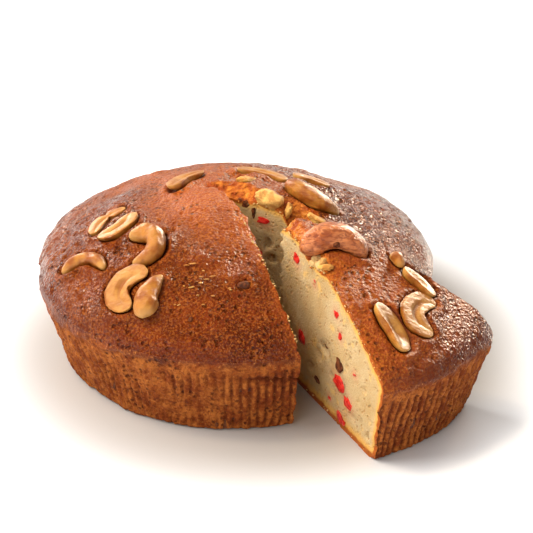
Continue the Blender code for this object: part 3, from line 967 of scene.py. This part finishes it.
def facing(normal, roll):
    """The turn that takes +Z to a direction, after a roll about +Z."""
    turn = Vector((0, 0, 1)).rotation_difference(Vector(normal)).to_matrix().to_4x4()
    return np.array(turn @ Matrix.Rotation(roll, 4, "Z"))[:3, :3]


def upright(sideways, out):
    """Axes on an upright face: sideways along it, up, and out of it."""
    return np.stack([sideways, (0, 0, 1), out], axis=1)


class Heap:
    """Many small things of one kind, gathered into one mesh in the frame."""

    def __init__(self):
        self.points, self.faces, self.tones, self.count = [], [], [], 0

    def add(self, shape, place, turn, on_slice, tone=0.0):
        points, faces = shape
        self.points.append(in_frame(points @ np.asarray(turn).T + np.asarray(place), on_slice))
        self.faces += [[v + self.count for v in face] for face in faces]
        self.tones += [tone] * len(points)
        self.count += len(points)

    def piece(self, name, look):
        points = np.concatenate(self.points)
        made = mesh_object(name, points, self.faces, (looks[look],), {"tone": self.tones})
        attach(made, "root")


def in_cut(heap, bits, on_slice, boxy):
    """Fruit cut through by the knife, a little proud of the face."""
    direction = CUT_LEFT if on_slice else CUT_RIGHT
    holes = SLICE_HOLES if on_slice else CAKE_HOLES
    axes = upright((cos(direction), sin(direction), 0), (sin(direction), -cos(direction), 0))
    for k, (along, height, wide, high) in enumerate(bits):
        place = on_cut(direction, along, 0, height)
        proud = float(cut_relief(place[None, :], holes, np.array([along]))[0])
        shape = lump((wide, high, 0.9 * min(wide, high)), k + 3, 3, boxy, 0.75, True)
        tilt = np.array(Matrix.Rotation(0.9 * sin(3.1 * k), 3, "Z"))
        heap.add(shape, place + axes[:, 2] * (proud + 0.1), axes @ tilt, on_slice)


def side_raisins(heap):
    for k, (degrees_round, height, wide, high) in enumerate(SIDE_RAISINS):
        angle = radians(degrees_round)
        x, y = side_point(np.array(angle), height)
        out = np.array([cos(angle), sin(angle), 0])
        axes = upright((-sin(angle), cos(angle), 0), out)
        on_slice = CUT_LEFT < angle < CUT_RIGHT
        shape = lump((wide, high, 2.4), k + 31, 3, 0.2, 0.7, True)
        heap.add(shape, np.array([x, y, height]) - out * 0.75, axes, on_slice)


def top_raisins(heap):
    for k, (x, y, width) in enumerate(TOP_RAISINS):
        normal = dome_normal(np.array([x]), np.array([y]))[0]
        place = np.array([x, y, dome_height(x, y)]) - normal * 0.6
        heap.add(lump((width, 0.75 * width, 2.6), k + 51, 3, 0.0, 0.3), place, facing(normal, k), False)
    beside_nut = np.array([13.6, -26.2, 76.6])
    heap.add(lump((3.6, 2.8, 3.0), 77, 3, 0.1, 0.5), beside_nut, facing((0, 0, 1), 0.5), True)


def torn_lumps(heap):
    """The big torn chunk and the flakes of crust at the notch, and the lumps under the brown nut."""
    chunk = on_cut(CUT_RIGHT, 25.5, 3.2) - np.array([0, 0, 0.4])
    heap.add(lump((14, 8.5, 9), 8, 4, 0.3, 0.5), chunk, facing((0.15, -0.35, 1), CUT_RIGHT), False, 0.78)
    flakes = (
        (CUT_RIGHT, 49, 3.0, 0.2, (10, 5, 3.2), False, 0.9),
        (CUT_RIGHT, 35.5, 1.4, -2.5, (3.0, 4, 7), False, 0.9),
        (CUT_RIGHT, 43, 0.6, -4.2, (7, 3, 3), False, 0.15),
        (CUT_RIGHT, 9, 12, 0.3, (9, 5, 3), False, 1.0),
        (CUT_LEFT, 41, 1.0, 0.1, (6.5, 3.6, 2.4), True, 0.9),
        (CUT_LEFT, 37, 1.4, -1.2, (4.5, 3.4, 3), True, 0.6),
        (CUT_LEFT, 31, 1.4, -5.2, (6.5, 4, 4), True, 0.1),
        (CUT_LEFT, 34.5, 1.2, -4.4, (5, 4, 4), True, 0.05),
    )
    for k, (direction, along, across, lift, size, on_slice, tone) in enumerate(flakes):
        place = on_cut(direction, along, across) + np.array([0, 0, lift])
        normal = dome_normal(place[:1], place[1:2])[0]
        turn = facing(normal, direction + 0.3 * k)
        heap.add(lump(size, k + 61, 3, 0.25, 0.75), place, turn, on_slice, tone)


# Where the flecks lie, each place standing for two (mm).
FLECKS = ((-17, -50), (-16, -58.5), (-8, -67), (-3, -62), (-22, -69), (-12, -54), (-9, -59), (-20, -62))


def crust_flecks(heap):
    """Thin pale flecks on the crust, lying across the cake."""
    chance = random.Random(11)
    for x, y in FLECKS:
        for _ in range(2):
            place = np.array([x + chance.uniform(-5, 5), y + chance.uniform(-2.5, 2.5)])
            normal = dome_normal(place[:1], place[1:])[0]
            foot = np.array([*place, dome_height(*place)]) + normal * 0.05
            shape = lump((chance.uniform(0.8, 3), 0.5, 0.7), chance.randrange(900), 3, 0.2, 0.8)
            heap.add(shape, foot, facing(normal, chance.uniform(-0.2, 0.2)), False, chance.choice((0.8, 1)))


def edge_crumbs(heap):
    """Crumbs that cling along the cuts' edges."""
    chance = random.Random(5)
    edges = (
        (CUT_LEFT, 4, 92, 90, False, 1), (CUT_RIGHT, 2, 60, 60, False, -1),
        (CUT_LEFT, 3, 94, 80, True, -1), (CUT_RIGHT, 6, 94, 50, True, 1),
    )
    for direction, first, last, many, on_slice, out in edges:
        for _ in range(many):
            along = chance.uniform(first, last)
            size = chance.choice((0.5, 0.7, 0.9, 1.3))
            edge = on_cut(direction, along, out * chance.uniform(-0.6, 0.5))
            low_edge = on_cut(direction, min(along, 80), out * 0.2, chance.uniform(0.6, 3.0))
            drop = float(torn(edge[None, :], on_slice)[0][0])
            if chance.random() < 0.75:
                place = edge - np.array([0, 0, drop + chance.uniform(0, 0.6)])
            else:
                place = low_edge
            shape = lump((size, size * 0.8, size * 0.7), chance.randrange(900), 1, 0.2, 0.4)
            turn = facing((0, 0, 1), chance.uniform(0, 6))
            heap.add(shape, place, turn, on_slice, chance.choice((0, 0.2, 0.9)))


red_fruit, raisins, crumbs = Heap(), Heap(), Heap()
in_cut(red_fruit, SLICE_FRUIT, True, 0.35)
in_cut(red_fruit, CAKE_FRUIT, False, 0.35)
in_cut(raisins, SLICE_RAISINS, True, 0.1)
in_cut(raisins, CAKE_RAISINS, False, 0.1)
side_raisins(raisins)
top_raisins(raisins)
torn_lumps(crumbs)
crust_flecks(crumbs)
edge_crumbs(crumbs)
red_fruit.piece("candied_fruit", "fruit")
raisins.piece("raisins", "raisin")
crumbs.piece("crumbs", "loose")


# The stage, light and camera.

# The painted shadow on the floor: its colour, and from where to where (m) from the floor's middle it fades to
# white.
FLOOR_SHADE = (0.42, 0.385, 0.35)
SHADE_REACH = (0.088, 0.152)


def floor():
    """A white floor with a painted shadow round the cake: greyer and warmer near it."""
    bpy.ops.mesh.primitive_plane_add(size=6)
    made = bpy.context.object
    made.name = "floor"
    look = Look("floor", Roughness=0.3)
    away = look.add("ShaderNodeVectorMath", {"operation": "LENGTH"}, _0=look.place).outputs["Value"]
    pale = look.mix(look.ramp(away, *SHADE_REACH), FLOOR_SHADE, (1, 1, 1))
    made.data.materials.append(look.use(Base_Color=pale))


# Each light's place, the height over the middle of what it faces, and its size (m); its power (W) and
# colour; and whether it shows in gloss, and whether it lights the surfaces' own colours.
LIGHTS = {
    "key": ((-0.85, 0.1, 1.05), 0.03, 1.1, 32, (1, 1, 1), False, True),
    "front_fill": ((-0.6, -1.0, 0.75), 0.03, 1.1, 11, (1, 1, 1), False, True),
    "sparkle": ((-0.45, 0.0, 1.1), 0.05, 0.15, 3.2, (1, 0.8, 0.55), True, True),
    "right_fill": ((0.8, -0.7, 0.5), 0.03, 0.7, 3, (1, 1, 1), False, True),
    "back_left": ((-0.75, 1.2, 0.45), 0.05, 0.35, 12, (1, 0.85, 0.7), True, False),
    "back_right": ((0.75, 1.1, 0.6), 0.05, 0.35, 60, (1, 0.8, 0.6), True, False),
    "back_fill": ((0.5, 1.0, 0.9), 0.03, 1.1, 8, (1, 1, 1), False, True),
}


def area_light(name, place, faced, size, power, colour, in_gloss, in_diffuse):
    light = bpy.data.lights.new(name, "AREA")
    light.color = colour
    light.size = size
    light.energy = power
    made = bpy.data.objects.new(name, light)
    made.location = place
    made.rotation_euler = (Vector((0, 0, faced)) - Vector(place)).to_track_quat("-Z", "Y").to_euler()
    made.visible_glossy = in_gloss
    made.visible_diffuse = in_diffuse
    bpy.context.scene.collection.objects.link(made)


def studio_world():
    """White low down all round, and dimmer overhead."""
    world = bpy.data.worlds.new("studio")
    world.use_nodes = True
    tree = world.node_tree
    place = tree.nodes.new("ShaderNodeTexCoord").outputs["Generated"]
    height = tree.nodes.new("ShaderNodeSeparateXYZ")
    fade = tree.nodes.new("ShaderNodeMapRange")
    for key, number in (("From Min", 0.1), ("From Max", 0.6), ("To Min", 0.36), ("To Max", 0.13)):
        fade.inputs[key].default_value = number
    tree.links.new(place, height.inputs[0])
    tree.links.new(height.outputs["Z"], fade.inputs["Value"])
    tree.links.new(fade.outputs["Result"], tree.nodes["Background"].inputs["Strength"])
    tree.nodes["Background"].inputs["Color"].default_value = (1, 1, 1, 1)
    bpy.context.scene.world = world


# How far up the camera stands, how far off (m), and what it looks at, in the cake's own place (mm).
CAMERA_RISE = radians(29.1)
CAMERA_DISTANCE = 1.0122
CAMERA_TARGET = (14.4, 0, 35.1)


def camera():
    back = Vector((0, -cos(CAMERA_RISE), sin(CAMERA_RISE)))
    target = CAKE_PLACING @ Vector(CAMERA_TARGET) * MM
    made = bpy.data.objects.new("camera", bpy.data.cameras.new("camera"))
    made.location = target + back * CAMERA_DISTANCE
    made.rotation_euler = (-back).to_track_quat("-Z", "Y").to_euler()
    made.data.sensor_width = 36
    made.data.lens = 148.9
    bpy.context.scene.collection.objects.link(made)
    bpy.context.scene.camera = made


floor()
studio_world()
for name, values in LIGHTS.items():
    area_light(name, *values)
camera()
bpy.context.scene.view_settings.view_transform = "Standard"
